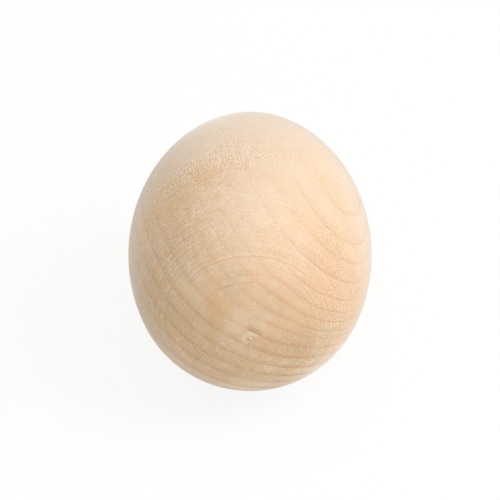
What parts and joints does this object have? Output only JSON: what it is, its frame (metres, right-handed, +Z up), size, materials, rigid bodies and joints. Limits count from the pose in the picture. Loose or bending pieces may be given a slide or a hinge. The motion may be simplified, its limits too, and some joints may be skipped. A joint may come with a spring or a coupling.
{
  "type": "wooden egg",
  "caption": "Solid turned egg in pale unfinished hardwood, with fine turned rings and a small cut-off scar at its blunt end.",
  "frame": {"origin": "on the surface the egg lies on, below the middle of its length", "axes": "+Y towards the pointed end, +Z up, egg lying on its side as it comes to rest"},
  "size_m": [0.0445, 0.0634, 0.0446],
  "materials": {
    "wood": "unfinished pale hardwood, sanded smooth, satin"
  },
  "bodies": {
    "root": {"egg": "wood"}
  },
  "joints": []
}
